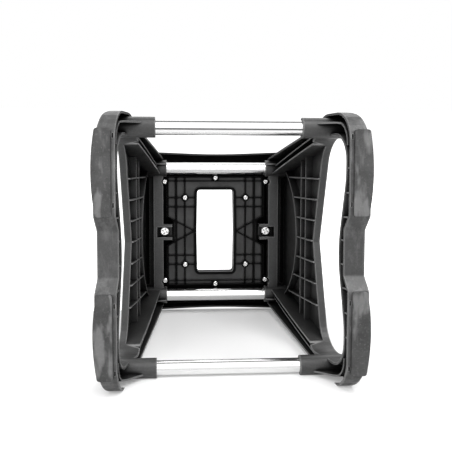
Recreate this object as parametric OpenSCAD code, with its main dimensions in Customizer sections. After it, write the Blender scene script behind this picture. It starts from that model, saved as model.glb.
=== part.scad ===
// Rigid moulded work stand: two side frames joined by four cross tubes, under a screwed-down deck.
// +X runs across the stand from side frame to side frame, +Y is its depth, +Z is up.
// The foot pads' soles lie in the plane z = 0, and the origin is below the middle of the deck.

/* [Overall] */
// Height of the side frames, from the floor to the seat of the deck
frame_h = 372; // [330:1:450]
// Half of the width over the side frames' skins, at the floor
foot_half_w = 188.5; // [165:0.5:230]
// Half of the width over the side frames' skins, at the deck
top_half_w = 131; // [115:0.5:150]
// How far the skin bows inwards from a straight lean, at half height
skin_bow = 3.7; // [0:0.1:8]
// Half of the depth over the heels
heel_half_d = 195.9; // [194:0.1:206]
// Half of the depth of the side frames at the deck
top_half_d = 130; // [122:0.5:137]

/* [Side frame walls] */
// Wall of the mouldings
wall = 3.2; // [2.5:0.1:4]
// Depth of the flange round a side frame at the deck, from the outer skin
leg_depth = 38; // [34:0.5:42]
// Depth of that flange from the lower sockets to mid height
leg_low_depth = 33.5; // [30:0.5:38]
// Depth of the foot bar, from the outer skin
foot_depth = 29; // [26:0.5:31]
// Depth of the flange above the side opening, from the outer skin
rim_depth = 11; // [8:0.5:16]
// Height at which the foot bar's depth starts to grow into the leg
foot_blend_z = 82; // [60:1:95]
// Radius of the heel, where the foot bar turns up into the leg
heel_r = 44.5; // [30:0.5:50]
// Height at which the heel turns in to the leg
heel_top_z = 88; // [84:1:96]
// Radius of that turn
heel_top_r = 28; // [15:1:30]
// Height at which the leg's straight line starts
leg_low_z = 117; // [112:1:130]
// Half of the depth over the legs at that height
leg_low_d = 178.5; // [174:0.5:182]
// Radius of the turn into the straight line
leg_low_r = 110; // [60:5:120]
// Plan radius by which the ends of the skin curve in at the floor
foot_round_r = 280; // [220:5:400]
// Distance from the middle at which that curve starts
foot_round_y = 112; // [100:1:130]
// Plan radius of the corner between the skin and the heel
foot_corner_r = 14; // [6:0.5:18]
// How fast those curves run out into the skin, in mm per mm of height
foot_round_fade = 0.11; // [0.08:0.01:0.16]

/* [Foot bar] */
// Height of the foot bar's arch over its pads
arch_rise = 15.7; // [8:0.1:20]
// Half of the length of the arch's flat top
arch_half = 32; // [20:1:45]
// Length of each ramp between the arch and the feet
arch_ramp = 20; // [12:1:30]

/* [Side opening] */
// Half of the length of the opening, front to back
opening_half = 163.5; // [140:0.5:165]
// Height of the opening's lower edge over its feet
opening_low = 16.5; // [14:0.5:24]
// Height of the opening's lower edge at the middle, before rounding
opening_low_mid = 41.5; // [34:0.5:50]
// Height of the opening's upper edge at its ends
opening_high = 140; // [120:1:145]
// Height of the opening's upper edge at the middle
opening_high_mid = 183; // [160:1:190]
// Radius of the opening's upper corners
opening_high_r = 50; // [30:1:56]
// Radius of the opening's lower corners
opening_low_r = 36; // [26:1:42]

/* [Ribs] */
// Thickness of the ribs
rib_t = 2.2; // [1.6:0.1:3]
// Number of upright ribs on each side panel
panel_ribs = 7; // [3:2:9]
// Distance between the upright ribs
panel_rib_pitch = 33.4; // [24:0.1:34]
// Height of the lower long rib
shelf_low_z = 213; // [205:1:222]
// Height of the upper long rib
shelf_high_z = 236; // [228:1:246]
// Depth of the panel ribs, from the outer skin
panel_depth = 14; // [10:0.5:18]
// Radius of the arched rib under the deck beam
arch_rib_r = 125; // [115:1:140]
// Height of the arched rib's lowest point
arch_rib_z = 256; // [248:1:265]
// Depth of the leg's inner rib, from the outer skin
inner_leg_depth = 33; // [28:0.5:36]
// Depth of the leg's outer rib, from the outer skin
outer_leg_depth = 29; // [24:0.5:34]
// Thickness of the webs inside the heels
heel_web_t = 2.5; // [2:0.1:3.5]
// Distance of those webs from the sockets' axes, where they leave the sockets
heel_web_out = 6.2; // [3:0.1:8]

/* [Cross tubes] */
// Diameter of the cross tubes
tube_d = 22.2; // [20:0.1:25]
// Wall of the cross tubes
tube_wall = 1.5; // [1:0.1:2.5]
// Height of the lower tubes
low_tube_z = 81.1; // [75:0.1:95]
// Distance of the lower tubes from the middle
low_tube_y = 175.3; // [170:0.1:176]
// Drop of the upper tubes below the deck's seat
up_tube_drop = 19.3; // [17:0.1:22]
// Distance of the upper tubes from the middle
up_tube_y = 115.3; // [112:0.1:116]
// Half of the distance between the lower sockets' mouths
low_mouth_x = 105.6; // [100:0.1:120]
// Half of the distance between the upper sockets' mouths
up_mouth_x = 89.3; // [86:0.1:94]
// Outer diameter of the sockets
socket_d = 30; // [28:0.5:32]
// Radial clearance of a tube in its socket
tube_fit = 0.15; // [0.1:0.05:0.4]

/* [Tube bolts] */
// Diameter of the bolt that holds each end of a tube
bolt_d = 8; // [6:1:8]
// Width across the flats of the bolt's head
bolt_head_w = 13; // [10:0.5:14]
// Height of the bolt's head
bolt_head_h = 5.3; // [4:0.1:6]
// Length of the bolt's shank
bolt_len = 30; // [22:1:34]
// Diameter of the washer under the head
washer_d = 18; // [16:0.5:20]
// Thickness of that washer
washer_t = 1.6; // [1:0.1:2]
// Diameter of the recess round the head
bolt_recess_d = 22; // [21:0.5:23]
// Depth of that recess, at the middle
bolt_recess = 9; // [8:0.5:12]
// Length of the threaded plug in each end of a tube
plug_len = 18; // [14:1:24]

/* [Deck beam] */
// Distance of the beam's inner face from the middle
beam_in_x = 95.5; // [94:0.5:97]
// Width of the beam
beam_w = 17.2; // [14:0.1:20]
// Depth of the beam below the deck's seat
beam_drop = 26; // [22:0.5:30]
// Half of the width of the screw pocket
pocket_half = 9.4; // [9:0.1:11]
// Thickness of the pocket's side walls
pocket_wall = 4.5; // [3:0.5:6]
// Distance of the lug's tip from the middle
lug_tip_x = 79.5; // [78:0.5:82]

/* [Deck] */
// Height of the deck's top over the frame's seat
deck_h = 26; // [22:0.5:32]
// Half of the deck's width
deck_half_w = 138.5; // [136:0.5:160]
// Half of the deck's depth, at its corners
deck_half_d = 145.5; // [142:0.5:160]
// How far the deck's front and back edges curve in at the middle
deck_waist = 5.5; // [0:0.5:8]
// Radius of the deck's corners
deck_corner_r = 20; // [12:1:30]
// Depth of the deck's skirt below the frame's seat
skirt_drop = 10; // [6:0.5:14]
// Wall of the deck's skirt
skirt_wall = 3; // [2.5:0.1:4]
// Half of the hand window's width, at its ends
window_half_w = 33.4; // [28:0.1:36]
// Extra half width of the window at its middle
window_bulge = 1.2; // [0:0.1:2]
// Half of the window's length
window_half_d = 75.9; // [60:0.1:78]
// Radius of the window's corners
window_r = 5; // [3:0.5:9]

/* [Brace plate] */
// Half of the plate's width
plate_half_w = 90; // [86:0.5:91]
// Half of the plate's depth
plate_half_d = 100.3; // [96:0.1:101]
// Thickness of the plate's floor
plate_t = 3; // [2:0.5:4]
// Depth of the plate's ribs below its floor
plate_rib_h = 8.5; // [5:0.5:10]
// Width of the window's lip
window_lip = 4.6; // [3:0.1:6]

/* [Screws] */
// Diameter of the small deck screws' heads
screw_head_d = 9.4; // [8:0.1:10]
// Diameter of the small deck screws' shanks
screw_d = 4.2; // [3.5:0.1:5]
// Length of the small deck screws' shanks
screw_len = 20; // [16:1:23]
// Diameter of the two frame screws' heads
frame_screw_head_d = 17.5; // [15:0.1:18]
// Diameter of the two frame screws' shanks
frame_screw_d = 6; // [5:0.1:7]
// Length of the two frame screws' shanks
frame_screw_len = 18; // [14:1:22]
// Distance of the two frame screws from the middle
frame_screw_x = 92.9; // [91:0.1:94]
// Places of the corner screws
corner_screw = [92.4, 91.0];
// Distance of the front and back screws from the middle
edge_screw_y = 97.9; // [95:0.1:99]
// Places of the inner screws
inner_screw = [55.8, 61.6];

/* [Pads and mat] */
// Thickness of the foot pads' soles
pad_t = 3; // [2:0.5:5]
// Width of the foot pads, inwards from the skin
pad_w = 24.5; // [20:0.5:26]
// How far the foot pads stand out from the skin
pad_proud = 2.1; // [1.5:0.1:3]
// Distance of the pads' ends from the middle
pad_far = 170.3; // [160:0.1:174]
// Radius of the pads' outer edges
pad_arc_r = 330; // [260:10:420]
// Radius of the pads' corners
pad_corner_r = 4; // [1:0.5:5]
// Height of the pads' outer lips
pad_lip_h = 10; // [6:0.5:16]
// Clearance between the pads and the curved faces above them
pad_gap = 0.3; // [0.2:0.1:0.6]
// Thickness of the grip mat
mat_t = 3; // [2:0.5:4]
// How deep the mat is sunk in the deck
mat_sunk = 2; // [1:0.5:2.5]
// Width of the deck's rim round the mat
mat_rim = 14; // [10:1:24]
// Number of grip ribs on each side of the window
mat_ribs = 9; // [4:1:12]

/* [Hidden] */
$fn = 48;
black = "#2b2c2e";
rubber = "#1d1e20";
chrome = "#d8dadd";
zinc = "#c3c5c8";
far = 1000;
skin_fn = 720;

// The skin: an arc in the XZ plane through the floor and the deck's seat, bowed inwards
chord = [top_half_w - foot_half_w, frame_h];
chord_len = norm(chord);
skin_r = (chord_len * chord_len / 4 + skin_bow * skin_bow) / (2 * skin_bow);
chord_mid = [(foot_half_w + top_half_w) / 2, frame_h / 2];
skin_c = chord_mid + (skin_r - skin_bow) * [chord.y, -chord.x] / chord_len;
function skin_x(z, depth = 0) = skin_c.x - sqrt(pow(skin_r + depth, 2) - pow(z - skin_c.y, 2));

// The heights and places that follow from the sizes above
up_tube_z = frame_h - up_tube_drop;
arch_z = pad_t + arch_rise;
beam_z = frame_h - beam_drop;
beam_out_x = beam_in_x + beam_w;
deck_z = frame_h + deck_h;
plate_z = frame_h + 5.2;
plate_floor_z = plate_z - plate_t;
plate_rib_z = plate_floor_z - plate_rib_h;
small_screws = concat(
    [for (sx = [-1, 1], sy = [-1, 1]) [sx * corner_screw.x, sy * corner_screw.y]],
    [for (sy = [-1, 1]) [0, sy * edge_screw_y]],
    [for (sx = [-1, 1], sy = [-1, 1]) [sx * inner_screw.x, sy * inner_screw.y]]
);
tube_ends = [
    [low_tube_y, low_tube_z, low_mouth_x],
    [-low_tube_y, low_tube_z, low_mouth_x],
    [up_tube_y, up_tube_z, up_mouth_x],
    [-up_tube_y, up_tube_z, up_mouth_x]
];
function bolt_seat_x(z) = skin_x(z) - bolt_recess;
socket_floor = 6;
ear_r = 5.5;
function tube_end_x(z) = bolt_seat_x(z) - socket_floor;
tube_bore_r = tube_d / 2 - tube_wall;

// Outlines: a corner is [u, v, fillet radius], listed anticlockwise
function unit(v) = v / norm(v);
function xy(c) = [c[0], c[1]];
function turn(a, b) = a.x * b.y - a.y * b.x;
function wrapped(a) = a > 180 ? a - 360 : a < -180 ? a + 360 : a;
function arc_steps(r) = r > 200 ? 10 : r > 15 ? 8 : 5;
function fillet(a, b, c, r) =
    let (u = unit(a - b), v = unit(c - b), half = acos(u * v) / 2)
    r <= 0.05 || half > 89.9 ? [b] :
    let (
        m = b + unit(u + v) * r / sin(half),
        p = b + u * r / tan(half) - m,
        q = b + v * r / tan(half) - m,
        from = atan2(p.y, p.x),
        sweep = wrapped(atan2(q.y, q.x) - from),
        n = arc_steps(r)
    )
    [for (i = [0:n]) m + r * [cos(from + sweep * i / n), sin(from + sweep * i / n)]];
function smooth(cs) =
    let (n = len(cs))
    [for (i = [0:n - 1]) each fillet(xy(cs[(i + n - 1) % n]), xy(cs[i]), xy(cs[(i + 1) % n]), cs[i][2])];
// Every edge moved inwards by d, or outwards where d is negative
function inset(cs, d) =
    let (n = len(cs))
    [for (i = [0:n - 1])
        let (
            e1 = unit(xy(cs[i]) - xy(cs[(i + n - 1) % n])),
            e2 = unit(xy(cs[(i + 1) % n]) - xy(cs[i])),
            n1 = [-e1.y, e1.x],
            n2 = [-e2.y, e2.x],
            p = xy(cs[i]) + d * (n1 + n2) / (1 + n1 * n2)
        )
        [p.x, p.y, max(0, cs[i][2] + (turn(e1, e2) > 0 ? -d : d))]];
function both_sides(half) =
    concat(half, [for (i = [len(half) - 1:-1:0]) if (abs(half[i][0]) > 0.01) [-half[i][0], half[i][1], half[i][2]]]);

frame_outline = both_sides([
    [arch_half, arch_z, 6],
    [arch_half + arch_ramp, pad_t, 6],
    [heel_half_d, pad_t, heel_r],
    [heel_half_d, heel_top_z, heel_top_r],
    [leg_low_d, leg_low_z, leg_low_r],
    [top_half_d, frame_h, 6]
]);
opening_outline = both_sides([
    [0, opening_low_mid, 150],
    [opening_half - 60, opening_low, 110],
    [opening_half, opening_low, opening_low_r],
    [opening_half, opening_high, opening_high_r],
    [0, opening_high_mid, 14]
]);
window_outline = [
    [window_half_w, -window_half_d, window_r],
    [window_half_w + window_bulge, 0, 900],
    [window_half_w, window_half_d, window_r],
    [-window_half_w, window_half_d, window_r],
    [-window_half_w - window_bulge, 0, 900],
    [-window_half_w, -window_half_d, window_r]
];
deck_outline = [
    [deck_half_w, -deck_half_d, deck_corner_r],
    [deck_half_w, deck_half_d, deck_corner_r],
    [0, deck_half_d - deck_waist, 1200],
    [-deck_half_w, deck_half_d, deck_corner_r],
    [-deck_half_w, -deck_half_d, deck_corner_r],
    [0, -deck_half_d + deck_waist, 1200]
];

// A flat shape drawn in Y and Z, run along X
module along_x(x0 = 0, x1 = far) {
    translate([x0, 0, 0]) rotate([90, 0, 90]) linear_extrude(x1 - x0) children();
}

// A flat shape drawn in X and Z, run along Y between -half and half
module along_y(half = 300) {
    rotate([90, 0, 0]) linear_extrude(2 * half, center = true) children();
}

// The space between two depths below the skin
module skin_band(d0, d1) {
    along_y() intersection() {
        translate([40, -5]) square([210, frame_h + 10]);
        difference() {
            translate(skin_c) circle(r = skin_r + d1, $fn = skin_fn);
            translate(skin_c) circle(r = skin_r + d0, $fn = skin_fn);
        }
    }
}

// A straight strip of thickness t between two points
module strip(a, b, t) {
    d = unit(b - a);
    s = [-d.y, d.x] * t / 2;
    polygon([a - s, b - s, b + s, a + s]);
}

// The flange's depth from the foot bar up: shallow in the foot, growing along the leg
function flange_depth(z) =
    z <= foot_blend_z ? foot_depth :
    z <= foot_blend_z + 30 ? foot_depth + (leg_low_depth - foot_depth) * (z - foot_blend_z) / 30 :
    z <= frame_h / 2 ? leg_low_depth :
    leg_low_depth + (leg_depth - leg_low_depth) * (2 * z / frame_h - 1);
module depth_relief() {
    steps = concat([-4, foot_blend_z, foot_blend_z + 30, 130, 160], [for (i = [5:10]) frame_h * i / 10 + (i > 9 ? 1 : 0)]);
    along_y() polygon(concat(
        [[40, -4]],
        [for (z = steps) [skin_x(z, flange_depth(z)), z]],
        [[40, frame_h + 1]]
    ));
}

// What the shallow rim over the opening leaves free: everything past rim_depth, above the blend
module rim_relief() {
    low = opening_high - 13;
    high = opening_high - 6;
    along_y() polygon([
        [40, low],
        [skin_x(low, inner_leg_depth), low],
        [skin_x(high, rim_depth), high],
        [skin_x((high + opening_high_mid) / 2, rim_depth), (high + opening_high_mid) / 2],
        [skin_x(opening_high_mid + 5, rim_depth), opening_high_mid + 5],
        [40, opening_high_mid + 5]
    ]);
}

// What lies outside the skin where its ends curve in towards the heels, moved outwards by grow
module foot_round(grow = 0) {
    run = (skin_x(0) - skin_x(100)) / 100 - foot_round_fade;
    turn_in = asin((heel_half_d - foot_corner_r - foot_round_y) / (foot_round_r - foot_corner_r));
    along = foot_round_r * sin(turn_in);
    c = (foot_round_r - foot_corner_r) * [cos(turn_in), sin(turn_in)];
    for (s = [0, 1]) mirror([0, s, 0])
        translate([foot_half_w - foot_round_r, foot_round_y, 0]) rotate([0, -atan(run), 0]) {
            difference() {
                translate([foot_round_r - 60, 1, -20]) cube([120, along - 1, 160]);
                cylinder(r = foot_round_r + grow, h = 600, center = true, $fn = skin_fn);
            }
            difference() {
                translate([c.x, along - 0.02, -20]) cube([60, 60, 160]);
                translate([c.x, c.y, 0]) cylinder(r = foot_corner_r + grow, h = 600, center = true, $fn = 96);
            }
        }
}

// Skin, outer flange and opening rim of the right-hand frame, open towards the middle
module frame_shell() {
    difference() {
        intersection() {
            along_x() polygon(smooth(frame_outline));
            skin_band(0, leg_depth + 1);
        }
        difference() {
            intersection() {
                along_x() difference() {
                    polygon(smooth(inset(frame_outline, wall)));
                    polygon(smooth(inset(opening_outline, -wall)));
                }
                skin_band(wall, leg_depth + 2);
            }
            foot_round(-wall);
        }
        intersection() {
            along_x() polygon(smooth(inset(opening_outline, -wall - 0.05)));
            rim_relief();
        }
        depth_relief();
        along_x() polygon(smooth(opening_outline));
    }
}

// The inner rib of a leg runs down the sockets' inner sides, the outer one from axis to axis
inner_rib_low = [low_tube_y - socket_d / 2 + 4.1, low_tube_z];
inner_rib_high = [up_tube_y - socket_d / 2 + 3.4, up_tube_z];
outer_rib_low = [low_tube_y + 3.1, low_tube_z];
outer_rib_high = [up_tube_y + 0.9, up_tube_z];
function inner_rib_y(z) =
    inner_rib_low.x + (inner_rib_high.x - inner_rib_low.x) * (z - inner_rib_low.y) / (inner_rib_high.y - inner_rib_low.y);

module leg_ribs() {
    for (s = [-1, 1]) {
        intersection() {
            along_x() difference() {
                strip([s * inner_rib_low.x, inner_rib_low.y], [s * inner_rib_high.x, inner_rib_high.y], rib_t);
                polygon(smooth(opening_outline));
            }
            skin_band(wall / 2, inner_leg_depth);
        }
        intersection() {
            along_x() strip([s * outer_rib_low.x, outer_rib_low.y], [s * outer_rib_high.x, outer_rib_high.y], rib_t);
            skin_band(wall / 2, outer_leg_depth);
        }
        // The fin that carries the upper socket runs out nearly to its mouth
        intersection() {
            along_x() strip([s * (up_tube_y + 6.2), up_tube_z], [s * (up_tube_y + 6.2 + 1.8), up_tube_z - 20], rib_t);
            along_y() polygon([
                [up_mouth_x + 1.2, up_tube_z],
                [up_mouth_x + 1.2, up_tube_z - 15.5],
                [up_mouth_x + 12, up_tube_z - 19],
                [skin_x(up_tube_z - 19) - wall / 2, up_tube_z - 19],
                [skin_x(up_tube_z) - wall / 2, up_tube_z]
            ]);
        }
    }
}

// The panel's field between the inner leg ribs, above the opening
module panel_field(top) {
    low = opening_high - 10;
    difference() {
        polygon([
            [-inner_rib_y(low), low],
            [inner_rib_y(low), low],
            [inner_rib_y(top), top],
            [-inner_rib_y(top), top]
        ]);
        polygon(smooth(opening_outline));
    }
}

module panel_ribs() {
    arc_c = [0, arch_rib_z + arch_rib_r];
    intersection() {
        along_x() intersection() {
            panel_field(up_tube_z - 20);
            difference() {
                union() {
                    for (z = [shelf_low_z, shelf_high_z]) translate([0, z]) square([2 * far, rib_t], center = true);
                    for (i = [-(panel_ribs - 1) / 2:(panel_ribs - 1) / 2]) {
                        translate([i * panel_rib_pitch, far / 2]) square([rib_t, far], center = true);
                    }
                }
                translate(arc_c) circle(r = arch_rib_r, $fn = 120);
            }
        }
        skin_band(wall / 2, panel_depth);
    }
    intersection() {
        along_x() intersection() {
            panel_field(up_tube_z - 20);
            translate(arc_c) difference() {
                circle(r = arch_rib_r + rib_t, $fn = 120);
                circle(r = arch_rib_r, $fn = 120);
            }
        }
        skin_band(wall / 2, panel_depth + 1.5);
    }
}

// Webs inside the foot bar, and the heel web that props each lower socket
foot_webs = [-118, -84, -50, -17, 17, 50, 84, 118];
module foot_ribs() {
    intersection() {
        along_x() difference() {
            union() for (y = foot_webs) translate([y - rib_t / 2, 0]) square([rib_t, 60]);
            polygon(smooth(opening_outline));
            difference() {
                translate([-far / 2, -far / 2]) square([far, far]);
                polygon(smooth(inset(frame_outline, wall / 2)));
            }
        }
        skin_band(wall / 2, foot_depth - 1.5);
    }
}

module heel_webs() {
    c = [heel_half_d - heel_r, pad_t + heel_r];
    r = low_tube_y + heel_web_out - c.x;
    low_z = low_tube_z - socket_d / 2;
    for (s = [0, 1]) mirror([0, s, 0]) {
        intersection() {
            along_x() union() {
                translate([c.x + r - heel_web_t / 2, c.y]) square([heel_web_t, low_tube_z - c.y]);
                intersection() {
                    translate(c) difference() {
                        circle(r = r + heel_web_t / 2, $fn = 96);
                        circle(r = r - heel_web_t / 2, $fn = 96);
                    }
                    translate([c.x - 2, c.y - 60]) square([60, 60]);
                }
            }
            along_y() polygon([
                [skin_x(0, foot_depth - 1.5), 0],
                [skin_x(c.y - 8, foot_depth - 1.5), c.y - 8],
                [low_mouth_x + 19.5, low_z + 1],
                [low_mouth_x + 19.5, low_tube_z],
                [skin_x(low_tube_z) - wall / 2, low_tube_z],
                [skin_x(0) - wall / 2, 0]
            ]);
        }
    }
}

// Sockets, drilled from inside for the tube and from outside for the bolt
module socket(e) {
    translate([e[2], e[0], e[1]]) rotate([0, 90, 0]) cylinder(d = socket_d, h = bolt_seat_x(e[1]) - e[2] + 1);
    intersection() {
        translate([bolt_seat_x(e[1]) - socket_floor, e[0], e[1]]) rotate([0, 90, 0]) cylinder(d = socket_d, h = 40);
        skin_band(0, leg_depth);
    }
}

module socket_bores(e) {
    translate([e[2] - 1, e[0], e[1]]) rotate([0, 90, 0])
        cylinder(r = tube_d / 2 + tube_fit, h = tube_end_x(e[1]) - e[2] + 1);
    translate([0, e[0], e[1]]) rotate([0, 90, 0]) cylinder(d = bolt_d + 0.6, h = far);
    translate([bolt_seat_x(e[1]), e[0], e[1]]) rotate([0, 90, 0]) cylinder(d = bolt_recess_d, h = 60);
}

// The beam under the deck's edge, its screw pocket and the lug that reaches under the deck
beam_half = up_tube_y - socket_d / 2 + 4;
lug_half = pocket_half + pocket_wall;
module deck_beam() {
    difference() {
        union() {
            translate([beam_in_x, -beam_half, beam_z]) cube([beam_w, 2 * beam_half, beam_drop]);
            translate([lug_tip_x, -lug_half, beam_z]) cube([beam_out_x - lug_tip_x, 2 * lug_half, beam_drop]);
        }
        for (s = [0, 1]) mirror([0, s, 0]) translate([beam_in_x + rib_t, lug_half, beam_z + wall])
            cube([beam_w - 2 * rib_t, beam_half, beam_drop]);
        translate([lug_tip_x - 1, -pocket_half, beam_z - 1])
            cube([beam_out_x - 6 - lug_tip_x + 1, 2 * pocket_half, beam_drop - wall + 1]);
        translate([frame_screw_x, 0, beam_z]) cylinder(d = frame_screw_d + 0.8, h = beam_drop + 1);
    }
}

slot_half = 98;
module side_frame() {
    color(black) difference() {
        union() {
            difference() {
                frame_shell();
                translate([40, -far / 2, beam_z]) cube([beam_in_x - 40, far, far]);
                translate([beam_out_x + 8.5, -slot_half, frame_h - 10])
                    cube([top_half_w - wall - beam_out_x - 8.5, 2 * slot_half, 20]);
                translate([beam_in_x, -beam_half, frame_h - 20]) cube([beam_w - rib_t, 2 * beam_half, 40]);
            }
            leg_ribs();
            panel_ribs();
            foot_ribs();
            heel_webs();
            for (e = tube_ends) socket(e);
            deck_beam();
            for (s = [-1, 1]) intersection() {
                translate([corner_screw.x, s * corner_screw.y, beam_z]) cylinder(r = ear_r + 2.7, h = beam_drop);
                translate([beam_in_x, -beam_half, beam_z]) cube([beam_w, 2 * beam_half, beam_drop]);
            }
        }
        for (e = tube_ends) socket_bores(e);
        for (s = [-1, 1]) translate([corner_screw.x, s * corner_screw.y, beam_z - 1]) cylinder(r = ear_r + 0.5, h = 60);
        foot_round();
        // Slots for the pads' clips
        for (s = [-1, 1], y = [pad_near + 16, pad_far - 9.8]) {
            translate([foot_half_w - pad_w - 2.6, s * y, pad_t + wall / 2]) cube([2, 6.5, wall + 2], center = true);
        }
    }
}

module side_frame_right() {
    side_frame();
}

module side_frame_left() {
    mirror([1, 0, 0]) side_frame();
}

// A rubber sole with a bowed outer edge, a lip that laps the skin and a heel that follows the foot's
pad_near = arch_half + arch_ramp;
pad_half = (pad_far - pad_near) / 2;
pad_slant = asin(pad_half / (pad_arc_r + 22));
pad_tip_x = foot_half_w + pad_proud + pad_arc_r * (1 / cos(pad_slant) - 1);
pad_end_x = pad_tip_x - pad_half * tan(pad_slant);
pad_outline = [
    [foot_half_w - pad_w, pad_near, pad_corner_r],
    [pad_end_x, pad_near, pad_corner_r],
    [pad_tip_x, pad_near + pad_half, pad_arc_r],
    [pad_end_x, pad_far, pad_corner_r],
    [foot_half_w - pad_w, pad_far, pad_corner_r]
];
module foot_pad() {
    lean = (skin_x(0) - skin_x(pad_lip_h)) / pad_lip_h;
    color(rubber) union() {
        linear_extrude(pad_t) polygon(smooth(pad_outline));
        difference() {
            linear_extrude(pad_t + 6) polygon(smooth(pad_outline));
            along_x() polygon(smooth(inset(frame_outline, -pad_gap)));
            cube([far, heel_half_d - heel_r + 4, far]);
        }
        intersection() {
            multmatrix([[1, 0, -lean, 0], [0, 1, 0, 0], [0, 0, 1, 0]])
                linear_extrude(pad_lip_h) polygon(smooth(pad_outline));
            translate([0, pad_near + 34, 0]) cube([far, pad_far - pad_near - 42, far]);
            union() {
                skin_band(-30, -pad_gap);
                foot_round(pad_gap);
            }
        }
    }
}

module foot_pad_rear_right() {
    foot_pad();
}

module foot_pad_rear_left() {
    mirror([1, 0, 0]) foot_pad();
}

module foot_pad_front_right() {
    mirror([0, 1, 0]) foot_pad();
}

module foot_pad_front_left() {
    mirror([0, 1, 0]) mirror([1, 0, 0]) foot_pad();
}

module cross_tube(y, z) {
    half = tube_end_x(z) - 0.3;
    color(chrome) translate([0, y, z]) rotate([0, 90, 0]) difference() {
        cylinder(d = tube_d, h = 2 * half, center = true);
        cylinder(r = tube_bore_r, h = 2 * half + 2, center = true);
    }
}

module lower_tube_front() {
    cross_tube(-low_tube_y, low_tube_z);
}

module lower_tube_rear() {
    cross_tube(low_tube_y, low_tube_z);
}

module upper_tube_front() {
    cross_tube(-up_tube_y, up_tube_z);
}

module upper_tube_rear() {
    cross_tube(up_tube_y, up_tube_z);
}

// Threaded plugs, pressed into the tubes' ends
module tube_plugs() {
    color(zinc) for (e = tube_ends) translate([tube_end_x(e[1]) - 0.3 - plug_len, e[0], e[1]])
        rotate([0, 90, 0]) difference() {
            cylinder(r = tube_bore_r - 0.1, h = plug_len);
            translate([0, 0, -1]) cylinder(d = bolt_d + 0.2, h = plug_len + 2);
        }
}

module tube_plugs_right() {
    tube_plugs();
}

module tube_plugs_left() {
    mirror([1, 0, 0]) tube_plugs();
}

module tube_washers() {
    color(zinc) for (e = tube_ends) translate([bolt_seat_x(e[1]), e[0], e[1]]) rotate([0, 90, 0]) difference() {
        cylinder(d = washer_d, h = washer_t);
        translate([0, 0, -1]) cylinder(d = bolt_d + 0.4, h = washer_t + 2);
    }
}

module tube_washers_right() {
    tube_washers();
}

module tube_washers_left() {
    mirror([1, 0, 0]) tube_washers();
}

module tube_bolts() {
    color(zinc) for (e = tube_ends) translate([bolt_seat_x(e[1]) + washer_t, e[0], e[1]]) rotate([0, 90, 0]) union() {
        cylinder(d = bolt_head_w / cos(30), h = bolt_head_h, $fn = 6);
        translate([0, 0, -bolt_len]) cylinder(d = bolt_d, h = bolt_len + 1);
    }
}

module tube_bolts_right() {
    tube_bolts();
}

module tube_bolts_left() {
    mirror([1, 0, 0]) tube_bolts();
}

// The deck: a tray turned upside down, with rails on the frames' tops and bosses for the screws
deck_skin = 4;
boss_d = 9;
module deck_shell() {
    skirt_z = frame_h - skirt_drop;
    rail_in = beam_in_x + 2;
    color(black) difference() {
        union() {
            difference() {
                translate([0, 0, skirt_z]) linear_extrude(deck_z - skirt_z) polygon(smooth(deck_outline));
                translate([0, 0, skirt_z - 1]) linear_extrude(deck_z - deck_skin - skirt_z + 1)
                    polygon(smooth(inset(deck_outline, skirt_wall)));
            }
            translate([0, 0, plate_z]) linear_extrude(deck_z - plate_z)
                polygon(smooth(inset(window_outline, -3)));
            for (p = small_screws) translate([p.x, p.y, plate_z]) cylinder(d = boss_d, h = deck_z - plate_z - 1);
            for (s = [-1, 1]) {
                translate([s * frame_screw_x, 0, frame_h]) cylinder(d = 16, h = deck_h - 1);
                for (x = [rail_in, beam_out_x + 1.5]) {
                    translate([s * x - 1.25, -82, frame_h]) cube([2.5, 164, deck_h - 1]);
                }
                for (y = [-75, -38, 38, 75]) translate([s * (rail_in + beam_out_x + 1.5) / 2, y, frame_h + (deck_h - 1) / 2])
                    cube([beam_out_x + 1.5 - rail_in, 2.5, deck_h - 1], center = true);
            }
        }
        translate([0, 0, frame_h]) linear_extrude(deck_h + 1) polygon(smooth(window_outline));
        translate([0, 0, deck_z - mat_sunk]) linear_extrude(mat_sunk + 1)
            polygon(smooth(inset(deck_outline, mat_rim)));
        for (p = small_screws) translate([p.x, p.y, plate_z - 1]) cylinder(d = screw_d, h = screw_len - 6);
        for (s = [-1, 1]) translate([s * frame_screw_x, 0, frame_h - 1]) cylinder(d = frame_screw_d, h = 17);
    }
}

// The ribbed plate screwed up under the deck, with a lip round the window and notches for the lugs
notch_in = lug_tip_x - 1.5;
notch_half = [20, 27.5];
plate_rib_t = 1.8;
function post_r(p) = abs(p.x) > plate_half_w ? ear_r : 6.5;
module plate_rib(a, b, t = plate_rib_t) {
    translate([0, 0, plate_rib_z]) linear_extrude(plate_rib_h + 1) strip(a, b, t);
}

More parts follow.
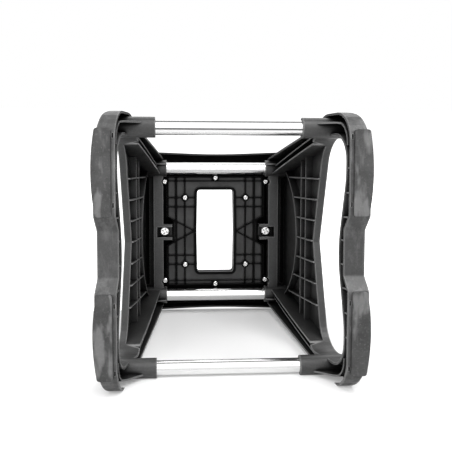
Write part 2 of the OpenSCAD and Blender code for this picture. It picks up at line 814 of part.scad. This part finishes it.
module plate_ribs() {
    edge_x = plate_half_w - plate_rib_t / 2;
    edge_y = plate_half_d - plate_rib_t / 2;
    lip_x = window_half_w + window_lip - 1;
    for (s = [-1, 1]) {
        for (t = [-1, 1]) {
            plate_rib([s * edge_x, t * plate_half_d], [s * edge_x, t * notch_half[1]]);
            plate_rib([s * (edge_x - 2.6), t * edge_y], [s * (edge_x - 2.6), t * notch_half[1]], 1.2);
            plate_rib([s * lip_x, t * inner_screw.y], [s * edge_x, t * inner_screw.y]);
            plate_rib([s * lip_x, t * 44.8], [s * edge_x, t * 44.8]);
            plate_rib([s * (lip_x + 1), 0], [s * edge_x, t * notch_half[1]]);
            plate_rib([s * (notch_in - 1), t * (notch_half[0] + 0.6)], [s * edge_x, t * (notch_half[1] + 1)]);
        }
        plate_rib([s * inner_screw.x, -edge_y], [s * inner_screw.x, edge_y]);
        plate_rib([s * 71.8, -edge_y], [s * 71.8, edge_y], 3.2);
        plate_rib([s * (notch_in - 1), -notch_half[0] - 1], [s * (notch_in - 1), notch_half[0] + 1]);
    }
    for (t = [-1, 1]) {
        plate_rib([-plate_half_w, t * edge_y], [plate_half_w, t * edge_y]);
        plate_rib([-edge_x, t * 92], [edge_x, t * 92], 1.2);
    }
}

module deck_brace_plate() {
    color(black) difference() {
        union() {
            translate([-plate_half_w, -plate_half_d, plate_floor_z]) cube([2 * plate_half_w, 2 * plate_half_d, plate_t]);
            plate_ribs();
            translate([0, 0, plate_rib_z]) linear_extrude(plate_rib_h + 1)
                polygon(smooth(inset(window_outline, -window_lip)));
            for (p = small_screws) translate([p.x, p.y, plate_rib_z]) cylinder(r = post_r(p), h = plate_rib_h + plate_t);
        }
        translate([0, 0, plate_rib_z - 1]) linear_extrude(40) polygon(smooth(window_outline));
        for (s = [0, 1]) mirror([s, 0, 0]) translate([0, 0, plate_rib_z - 1]) linear_extrude(40) polygon([
            [notch_in, -notch_half[0]],
            [plate_half_w + 1, -notch_half[1]],
            [plate_half_w + 1, notch_half[1]],
            [notch_in, notch_half[0]]
        ]);
        for (p = small_screws) translate([p.x, p.y, plate_rib_z - 1]) cylinder(d = screw_d + 0.6, h = 40);
    }
}

// A pan head with a cross recess, its seat at z = 0
module pan_screw(head_d, head_h, shank_d, shank_len) {
    difference() {
        pan_screw_blank(head_d, head_h, shank_d, shank_len);
        for (a = [0, 90]) rotate([0, 0, a + 20]) translate([0, 0, -head_h])
            cube([0.6 * head_d, 0.15 * head_d, head_h], center = true);
    }
}

module pan_screw_blank(head_d, head_h, shank_d, shank_len) {
    translate([0, 0, -head_h]) rotate_extrude() polygon([
        [0, 0],
        [head_d / 2 - head_h * 0.6, 0],
        [head_d / 2 - head_h * 0.2, head_h * 0.3],
        [head_d / 2, head_h * 0.8],
        [head_d / 2, head_h],
        [shank_d / 2, head_h],
        [shank_d / 2, head_h + shank_len - 1],
        [shank_d / 2 - 1, head_h + shank_len],
        [0, head_h + shank_len]
    ]);
}

module deck_screws() {
    color(zinc) for (p = small_screws) translate([p.x, p.y, plate_rib_z])
        pan_screw(screw_head_d, 2.4, screw_d - 0.2, screw_len);
}

module frame_screws() {
    color(zinc) for (s = [-1, 1]) translate([s * frame_screw_x, 0, frame_h - wall])
        pan_screw(frame_screw_head_d, 3.4, frame_screw_d - 0.2, frame_screw_len);
}

module grip_mat() {
    mat_z = deck_z - mat_sunk;
    hole = inset(window_outline, -6);
    edge = inset(deck_outline, mat_rim + 0.4);
    color(rubber) union() {
        translate([0, 0, mat_z]) linear_extrude(mat_t) difference() {
            polygon(smooth(edge));
            polygon(smooth(hole));
        }
        rib_pitch = (deck_half_w - mat_rim - window_half_w - 16) / mat_ribs;
        for (s = [-1, 1], i = [0:mat_ribs - 1]) {
            translate([s * (window_half_w + 12 + rib_pitch * (i + 0.5)), 0, mat_z + mat_t])
                cube([3, 2 * (deck_half_d - deck_waist - mat_rim - 12), 1.6], center = true);
        }
    }
}

side_frame_left();
side_frame_right();
foot_pad_front_left();
foot_pad_front_right();
foot_pad_rear_left();
foot_pad_rear_right();
lower_tube_front();
lower_tube_rear();
upper_tube_front();
upper_tube_rear();
tube_plugs_left();
tube_plugs_right();
tube_washers_left();
tube_washers_right();
tube_bolts_left();
tube_bolts_right();
deck_shell();
deck_brace_plate();
grip_mat();
deck_screws();
frame_screws();
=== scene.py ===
import bpy
from mathutils import Matrix, Vector


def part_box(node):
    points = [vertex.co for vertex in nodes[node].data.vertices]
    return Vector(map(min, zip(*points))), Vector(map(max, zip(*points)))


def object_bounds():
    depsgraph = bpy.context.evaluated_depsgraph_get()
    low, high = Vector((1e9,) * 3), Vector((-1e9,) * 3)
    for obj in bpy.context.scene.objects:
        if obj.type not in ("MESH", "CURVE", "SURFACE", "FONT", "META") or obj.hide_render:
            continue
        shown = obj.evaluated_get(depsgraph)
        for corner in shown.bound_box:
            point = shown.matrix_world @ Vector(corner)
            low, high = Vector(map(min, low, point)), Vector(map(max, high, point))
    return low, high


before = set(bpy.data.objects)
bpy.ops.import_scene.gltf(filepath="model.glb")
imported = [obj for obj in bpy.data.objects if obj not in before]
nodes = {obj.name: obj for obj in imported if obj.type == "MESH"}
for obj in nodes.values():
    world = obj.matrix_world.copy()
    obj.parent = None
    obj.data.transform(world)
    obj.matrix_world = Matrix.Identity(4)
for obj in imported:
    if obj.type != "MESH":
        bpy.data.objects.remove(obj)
cad_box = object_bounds()
scene = bpy.context.scene

# Sockets of the colour Mix node, which shares its socket names between data types.
MIX_A, MIX_B, MIX_RESULT = 6, 7, 2


# ---------------------------------------------------------------- node helpers
class Graph:
    """A material's node tree, with short calls for the nodes used here."""

    def __init__(self, name):
        self.mat = bpy.data.materials.new(name)
        self.mat.use_nodes = True
        self.tree = self.mat.node_tree
        self.tree.nodes.clear()
        self.out = self.add("ShaderNodeOutputMaterial")

    def add(self, kind, **settings):
        node = self.tree.nodes.new(kind)
        for key, value in settings.items():
            setattr(node, key, value)
        return node

    def link(self, a, b):
        self.tree.links.new(a, b)

    def put(self, socket, value):
        """Link a socket to another one, or set it to a plain value."""
        if isinstance(value, bpy.types.NodeSocket):
            self.link(value, socket)
        else:
            socket.default_value = value

    def coords(self):
        """Object coordinates, in metres; every node's object sits at the origin."""
        return self.add("ShaderNodeTexCoord").outputs["Object"]

    def along(self, axis):
        split = self.add("ShaderNodeSeparateXYZ")
        self.link(self.coords(), split.inputs["Vector"])
        return split.outputs[axis]

    def distance(self):
        length = self.add("ShaderNodeVectorMath", operation="LENGTH")
        self.link(self.coords(), length.inputs[0])
        return length.outputs["Value"]

    def noise(self, scale, detail, rough=0.5, stretch=(1, 1, 1)):
        mapping = self.add("ShaderNodeMapping")
        mapping.inputs["Scale"].default_value = stretch
        self.link(self.coords(), mapping.inputs["Vector"])
        tex = self.add("ShaderNodeTexNoise")
        self.link(mapping.outputs["Vector"], tex.inputs["Vector"])
        tex.inputs["Scale"].default_value = scale
        tex.inputs["Detail"].default_value = detail
        tex.inputs["Roughness"].default_value = rough
        return tex.outputs["Fac"]

    def remap(self, value, lo, hi, to_lo, to_hi):
        """Carry lo..hi to to_lo..to_hi, held at both ends."""
        node = self.add("ShaderNodeMapRange")
        self.put(node.inputs["Value"], value)
        node.inputs["From Min"].default_value = lo
        node.inputs["From Max"].default_value = hi
        node.inputs["To Min"].default_value = to_lo
        node.inputs["To Max"].default_value = to_hi
        return node.outputs["Result"]

    def math(self, op, a, b=0.0):
        node = self.add("ShaderNodeMath", operation=op)
        self.put(node.inputs[0], a)
        self.put(node.inputs[1], b)
        return node.outputs["Value"]

    def mix(self, fac, a, b):
        node = self.add("ShaderNodeMix", data_type="RGBA")
        self.put(node.inputs["Factor"], fac)
        self.put(node.inputs[MIX_A], a)
        self.put(node.inputs[MIX_B], b)
        return node.outputs[MIX_RESULT]

    def soft_edges(self, radius):
        node = self.add("ShaderNodeBevel", samples=4)
        node.inputs["Radius"].default_value = radius
        return node.outputs["Normal"]

    def grain(self, scale, detail, strength, depth, edge_radius):
        """A fine bump over edges that catch the light as if rounded."""
        node = self.add("ShaderNodeBump")
        node.inputs["Strength"].default_value = strength
        node.inputs["Distance"].default_value = depth
        self.link(self.noise(scale, detail), node.inputs["Height"])
        self.link(self.soft_edges(edge_radius), node.inputs["Normal"])
        return node.outputs["Normal"]

    def open_to_air(self, reach, inside=False):
        """1 on open faces; falls in corners, or with inside=True along outer edges."""
        node = self.add(
            "ShaderNodeAmbientOcclusion", samples=6, inside=inside, only_local=inside
        )
        node.inputs["Distance"].default_value = reach
        return node.outputs["AO"]

    def surface(self, **sockets):
        shader = self.add("ShaderNodeBsdfPrincipled")
        for key, value in sockets.items():
            self.put(shader.inputs[key.replace("_", " ")], value)
        self.link(shader.outputs["BSDF"], self.out.inputs["Surface"])
        return self.mat


def grey(value, warm=0.0):
    return (value * (1 + warm), value, value * (1 - warm), 1.0)


# ---------------------------------------------------------------- materials
MOULD_GRAIN = 1600.0
# The middle tone here is a painted highlight for outer edges.
DRY_SCUFF, EDGE_HIGHLIGHT_TONE, DUST = grey(0.20), grey(0.24), grey(0.30, 0.02)
SCUFF_HEIGHT = 0.06


def moulded(name, dark, pale, rough, scuffs, edge_highlight, gloss):
    """Black moulded plastic: cloudy and flecked, with dry scuffs near the floor. Outer
    edges get a painted highlight, and deep corners get painted shade, where tone and gloss
    fall away."""
    g = Graph(name)
    cloud = g.remap(g.noise(14.0, 4.0, 0.6), 0.35, 0.65, 0.0, 0.5)
    fleck = g.remap(g.noise(380.0, 2.0, 0.6), 0.38, 0.62, 0.0, 0.5)
    colour = g.mix(g.math("ADD", cloud, fleck), grey(dark), grey(pale))
    streaks = g.noise(60.0, 6.0, 0.7, stretch=(1.0, 0.35, 1.0))
    low = g.remap(g.along("Z"), 0.0, SCUFF_HEIGHT, 1.0, 0.0)
    worn = g.math("MULTIPLY", g.remap(streaks, 0.48, 0.72, 0.0, scuffs), low)
    colour = g.mix(worn, colour, DRY_SCUFF)
    # Painted highlight: outer edges are lightened towards a paler grey.
    edge_highlight_mask = g.remap(g.open_to_air(0.002, inside=True), 0.45, 0.92, edge_highlight, 0.0)
    colour = g.mix(edge_highlight_mask, colour, EDGE_HIGHLIGHT_TONE)
    # Painted shade: deep corners darken towards near black, and their gloss falls too.
    clear_of_painted_shade = g.remap(g.open_to_air(0.060), 0.30, 0.85, 0.08, 1.0)
    colour = g.mix(clear_of_painted_shade, grey(dark * 0.2), colour)
    return g.surface(
        Base_Color=colour,
        Roughness=g.remap(g.noise(45.0, 5.0, 0.65), 0.3, 0.7, *rough),
        Specular_IOR_Level=g.math("MULTIPLY", clear_of_painted_shade, gloss),
        Normal=g.grain(MOULD_GRAIN, 2.0, 0.12, 0.0004, edge_radius=0.0009),
    )


def ribbed_plate(name, dark, pale, rib_z, floor_z):
    """The brace plate: a cloudy floor, with painted shade on its rib edges and in its
    corners, which are also duller.
    """
    g = Graph(name)
    cloud = g.remap(g.noise(22.0, 4.0, 0.6), 0.38, 0.66, 0.0, 1.0)
    # Painted shade: rib edges, from rib_z to floor_z, and corners darken towards near
    # black. Their gloss falls as well.
    depth = g.remap(g.along("Z"), rib_z, floor_z, 0.0, 1.0)
    corners = g.remap(g.open_to_air(0.003), 0.35, 0.75, 0.0, 1.0)
    clear = g.math("MULTIPLY", depth, corners)
    floor = g.mix(cloud, grey(dark), grey(pale))
    rough = g.remap(g.noise(45.0, 5.0, 0.65), 0.3, 0.7, 0.34, 0.46)
    return g.surface(
        Base_Color=g.mix(clear, grey(dark * 0.1), floor),
        Roughness=g.math("ADD", rough, g.remap(clear, 0.0, 1.0, 0.2, 0.0)),
        Specular_IOR_Level=g.remap(clear, 0.0, 1.0, 0.08, 0.5),
        Normal=g.grain(MOULD_GRAIN, 2.0, 0.06, 0.0004, edge_radius=0.0005),
    )


def soft_rubber(name, dark, pale, dust, patchy):
    """Dull rubber with pale specks of dust; patchy adds paler, polished patches."""
    g = Graph(name)
    blotch = g.noise(38.0, 3.0, 0.55, stretch=(1.0, 0.3, 1.0))
    patches = g.remap(blotch, 0.52, 0.60, 0.0, 1.0)
    cloud = g.remap(g.noise(30.0, 5.0, 0.65), 0.35, 0.65, 0.0, 0.3)
    tone = g.math("ADD", g.math("MULTIPLY", patches, patchy), cloud)
    colour = g.mix(tone, grey(dark), grey(pale))
    specks = g.remap(g.noise(300.0, 4.0, 0.7), 0.55, 0.75, 0.0, dust)
    return g.surface(
        Base_Color=g.mix(specks, colour, DUST),
        Roughness=g.remap(patches, 0.0, 1.0, 0.62, 0.62 - 0.3 * patchy),
        Specular_IOR_Level=g.remap(patches, 0.0, 1.0, 0.3, 0.3 + 0.4 * patchy),
        Normal=g.grain(900.0, 3.0, 0.2, 0.0005, edge_radius=0.0012),
    )


PLATING = grey(0.86)
# Places across a tube, as shares of its radius from its middle: where the soft band of
# painted reflection lies, and how far from the middle of a band or line of painted
# reflection its tone begins and ends.
REFLECTED_BAND_AT = -0.62
REFLECTED_BAND_FADE, REFLECTED_LINE_FADE = (0.18, 0.34), (0.07, 0.17)


def plated_tube(name, tube, reflected_line_at, reflected_line_tone, reflected_band_tone):
    """Bright plating with a painted reflection: one dark line and one soft, duller band
    along the tube.
    """
    low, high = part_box(tube)
    middle, radius = (low[1] + high[1]) / 2, (high[1] - low[1]) / 2
    g = Graph(name)
    across = g.math("DIVIDE", g.math("SUBTRACT", g.along("Y"), middle), radius)
    from_reflected_line = g.math("ABSOLUTE", g.math("SUBTRACT", across, reflected_line_at))
    from_reflected_band = g.math("ABSOLUTE", g.math("SUBTRACT", across, REFLECTED_BAND_AT))
    reflected_band = g.remap(from_reflected_band, *REFLECTED_BAND_FADE, 1.0, 0.0)
    colour = g.mix(reflected_band, PLATING, grey(reflected_band_tone))
    reflected_line = g.remap(from_reflected_line, *REFLECTED_LINE_FADE, 1.0, 0.0)
    haze = g.noise(90.0, 1.0, stretch=(0.001, 1.0, 1.0))
    return g.surface(
        Base_Color=g.mix(reflected_line, colour, grey(reflected_line_tone)),
        Metallic=1.0,
        Roughness=g.remap(haze, 0.35, 0.65, 0.13, 0.18),
    )


def zinc(name, tone, rough):
    """Plated steel fasteners, with painted shade that makes them nearly black inside their
    recesses.
    """
    g = Graph(name)
    cloud = g.noise(500.0, 4.0, 0.6)
    mottle = g.remap(cloud, 0.4, 0.6, 0.0, 1.0)
    plating = g.mix(mottle, grey(tone, 0.01), grey(tone * 0.82))
    # Painted shade: recesses darken towards near black.
    recess_unshaded = g.remap(g.open_to_air(0.003), 0.35, 0.85, 0.0, 1.0)
    return g.surface(
        Base_Color=g.mix(recess_unshaded, grey(tone * 0.04), plating),
        Metallic=1.0,
        Roughness=g.remap(cloud, 0.3, 0.7, rough, rough + 0.12),
        Normal=g.soft_edges(0.0004),
    )


# The keyword before gloss sets how strong the painted edge highlight is.
frame_plastic = moulded(
    "frame_plastic", 0.024, 0.044, rough=(0.30, 0.46), scuffs=0.6, edge_highlight=0.75, gloss=0.55
)
# Painted shade: the deck's plastic gets darker tones and less gloss than the frame's,
# standing in for the deep shade inside the deck.
deck_plastic = moulded(
    "deck_plastic", 0.010, 0.015, rough=(0.50, 0.62), scuffs=0.0, edge_highlight=0.15, gloss=0.30
)
plate_plastic = ribbed_plate("plate_plastic", 0.013, 0.042, rib_z=0.3665, floor_z=0.3690)
pad_rubber = soft_rubber("pad_rubber", 0.034, 0.130, dust=0.25, patchy=0.7)
mat_rubber = soft_rubber("mat_rubber", 0.030, 0.042, dust=0.10, patchy=0.0)
# The last three numbers place each tube's painted reflection line and give its tone and
# the painted band's tone.
chrome_front = plated_tube("chrome_front", "lower_tube_front", 0.24, 0.12, 0.40)
chrome_rear = plated_tube("chrome_rear", "lower_tube_rear", -0.10, 0.45, 0.45)
chrome_high = plated_tube("chrome_high", "upper_tube_front", 0.30, 0.60, 0.75)
zinc_dull = zinc("zinc", tone=0.62, rough=0.34)
zinc_bright = zinc("screw_zinc", tone=0.92, rough=0.20)

# The start of a node's name gives its finish. "tube_" is the plugs, washers and bolts.
FINISH = {
    "side_frame": frame_plastic,
    "foot_pad": pad_rubber,
    "lower_tube_front": chrome_front,
    "lower_tube_rear": chrome_rear,
    "upper_tube": chrome_high,
    "tube_": zinc_dull,
    "deck_shell": deck_plastic,
    "deck_brace_plate": plate_plastic,
    "grip_mat": mat_rubber,
    "deck_screws": zinc_bright,
    "frame_screws": zinc_bright,
}
for name, obj in nodes.items():
    finish = next(mat for prefix, mat in FINISH.items() if name.startswith(prefix))
    for slot in obj.material_slots:
        slot.material = finish


# ---------------------------------------------------------------- stage
# The stand is photographed lying on its back, but other views show it standing. So
# there are two sheets of paper, each seen only from its front: one behind the lying
# stand and one under its feet.
PAPER_TONE = 0.72
# Painted light: for the camera only, the paper brightens to plain white between these
# distances from the origin.
NEAR, FAR = 0.42, 1.1
# Painted light: it glows a little everywhere, and more to both sides of the stand's
# middle, leaving the floor around the middle darker.
GLOW, SIDE_GLOW = 0.16, 0.16
SIDE_FROM, SIDE_TO = 0.08, 0.24
# Painted light: it is plain white past its edge, over this width, hiding any shadow there.
EDGE_BLEND = 0.01
SPAN, REACH_DOWN = 6.0, -2.5


def one_sided(name, axis, edge):
    """Pale paper seen only from its front, with painted light: it glows for the camera,
    more with distance and to the sides, and is plain white past an edge on one axis.
    """
    g = Graph(name)
    paper = g.add("ShaderNodeBsdfDiffuse")
    mottle = g.remap(g.noise(3.0, 2.0), 0.3, 0.7, 0.0, 1.0)
    tone = g.mix(mottle, grey(PAPER_TONE), grey(PAPER_TONE * 0.99))
    g.link(tone, paper.inputs["Color"])
    light = g.add("ShaderNodeEmission")
    light.inputs["Color"].default_value = grey(1.0)
    path = g.add("ShaderNodeLightPath")
    # Painted light: this glow brightens the paper for the camera by distance, to the sides
    # and past the edge.
    painted_glow = g.remap(g.distance(), NEAR, FAR, 0.0, 1.0)
    off_middle = g.math("ABSOLUTE", g.along("X"))
    beside = g.remap(off_middle, SIDE_FROM, SIDE_TO, 0.0, SIDE_GLOW)
    past_edge = g.remap(g.along(axis), edge - EDGE_BLEND, edge, 0.0, 1.0)
    painted_glow = g.math("MAXIMUM", painted_glow, g.math("ADD", beside, GLOW))
    painted_glow = g.math("MAXIMUM", painted_glow, past_edge)
    seen = g.math("MULTIPLY", path.outputs["Is Camera Ray"], painted_glow)
    g.link(seen, light.inputs["Strength"])
    both = g.add("ShaderNodeAddShader")
    g.link(paper.outputs[0], both.inputs[0])
    g.link(light.outputs[0], both.inputs[1])
    clear = g.add("ShaderNodeBsdfTransparent")
    side = g.add("ShaderNodeMixShader")
    g.link(g.add("ShaderNodeNewGeometry").outputs["Backfacing"], side.inputs["Fac"])
    g.link(both.outputs[0], side.inputs[1])
    g.link(clear.outputs[0], side.inputs[2])
    g.link(side.outputs[0], g.out.inputs["Surface"])
    return g.mat


def sheet_of_paper(name, corners, material):
    mesh = bpy.data.meshes.new(name)
    mesh.from_pydata(corners, [], [(0, 1, 2, 3)])
    mesh.materials.append(material)
    obj = bpy.data.objects.new(name, mesh)
    scene.collection.objects.link(obj)
    return obj


# The lying stand rests on its heels and its deck's rear edge: the sheet behind it
# touches both, a hair's breadth off.
back_y, top_z = cad_box[1][1], cad_box[1][2]
heel_z, deck_edge_z = 0.018, top_z - 0.01
slope = (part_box("deck_shell")[1][1] - back_y) / (deck_edge_z - heel_z)
PAPER_GAP = 0.0005


def lying_floor(z):
    return back_y + slope * (z - heel_z) + PAPER_GAP


behind = sheet_of_paper(
    "floor_behind",
    [
        (-SPAN, lying_floor(REACH_DOWN), REACH_DOWN),
        (SPAN, lying_floor(REACH_DOWN), REACH_DOWN),
        (SPAN, lying_floor(SPAN), SPAN),
        (-SPAN, lying_floor(SPAN), SPAN),
    ],
    one_sided("paper_behind", "Z", top_z - 0.02),
)
under = sheet_of_paper(
    "floor_under",
    [(-SPAN, -SPAN, 0.0), (SPAN, -SPAN, 0.0), (SPAN, SPAN, 0.0), (-SPAN, SPAN, 0.0)],
    one_sided("paper_under", "Y", lying_floor(0.0)),
)
# Neither sheet shades the stand, and the one under the feet is left out of its light.
behind.visible_shadow = False
for flag in ("diffuse", "glossy", "transmission", "shadow"):
    setattr(under, "visible_" + flag, False)


# ---------------------------------------------------------------- light
ROOM_LIGHT = 0.30
world = bpy.data.worlds.new("studio")
scene.world = world
world.use_nodes = True
tree = world.node_tree
tree.nodes.clear()
w_out = tree.nodes.new("ShaderNodeOutputWorld")
room = tree.nodes.new("ShaderNodeBackground")
room.inputs["Color"].default_value = grey(1.0)
room.inputs["Strength"].default_value = ROOM_LIGHT
white = tree.nodes.new("ShaderNodeBackground")
white.inputs["Color"].default_value = grey(1.0)
white.inputs["Strength"].default_value = 1.0
ray = tree.nodes.new("ShaderNodeLightPath")
pick = tree.nodes.new("ShaderNodeMixShader")
tree.links.new(ray.outputs["Is Camera Ray"], pick.inputs["Fac"])
tree.links.new(room.outputs[0], pick.inputs[1])
tree.links.new(white.outputs[0], pick.inputs[2])
tree.links.new(pick.outputs[0], w_out.inputs["Surface"])

MIDDLE = (0.0, 0.0, 0.18)


def softbox(name, place, width, height, watts):
    """A rectangular lamp at a place, turned to the stand's middle."""
    data = bpy.data.lights.new(name, "AREA")
    data.shape = "RECTANGLE"
    data.size = width
    data.size_y = height
    data.energy = watts
    obj = bpy.data.objects.new(name, data)
    aim = (Vector(MIDDLE) - Vector(place)).to_track_quat("-Z", "Y")
    obj.matrix_world = Matrix.Translation(place) @ aim.to_matrix().to_4x4()
    scene.collection.objects.link(obj)


softbox("key", (0.45, -1.60, -1.10), 2.8, 2.0, 46.0)
softbox("front", (0.10, -0.20, -2.20), 1.4, 1.4, 10.0)
softbox("fill", (-1.5, -0.5, -0.8), 2.2, 2.2, 26.0)
softbox("top", (0.0, -1.6, 1.3), 2.8, 1.8, 26.0)
softbox("glint", (1.0, -1.7, -0.6), 0.6, 0.5, 10.0)
softbox("back", (-0.6, 1.8, 0.7), 2.0, 1.4, 14.0)


# ---------------------------------------------------------------- camera
# Fitted to the photo. It looks up into the lying stand, along +Z, with -Y upwards.
YAW, PITCH, ROLL = -0.084, 0.084, 0.002
EYE = (-0.093653, -0.122962, -0.980247)
FOCAL_PX, FRAME_PX, SENSOR = 734.88, 452.0, 36.0


def turn(axis, angle):
    return Matrix.Rotation(angle, 3, axis)


right, down, ahead = turn("Z", ROLL) @ turn("X", PITCH) @ turn("Y", YAW)
pose = Matrix((right, -down, -ahead)).transposed().to_4x4()
pose.translation = Vector(EYE)

lens = bpy.data.cameras.new("camera")
lens.sensor_width = SENSOR
lens.lens = SENSOR * FOCAL_PX / FRAME_PX
lens.clip_start = 0.01
lens.clip_end = 50.0
lens.dof.use_dof = False
camera = bpy.data.objects.new("camera", lens)
camera.matrix_world = pose
scene.collection.objects.link(camera)
scene.camera = camera

scene.view_settings.view_transform = "Standard"
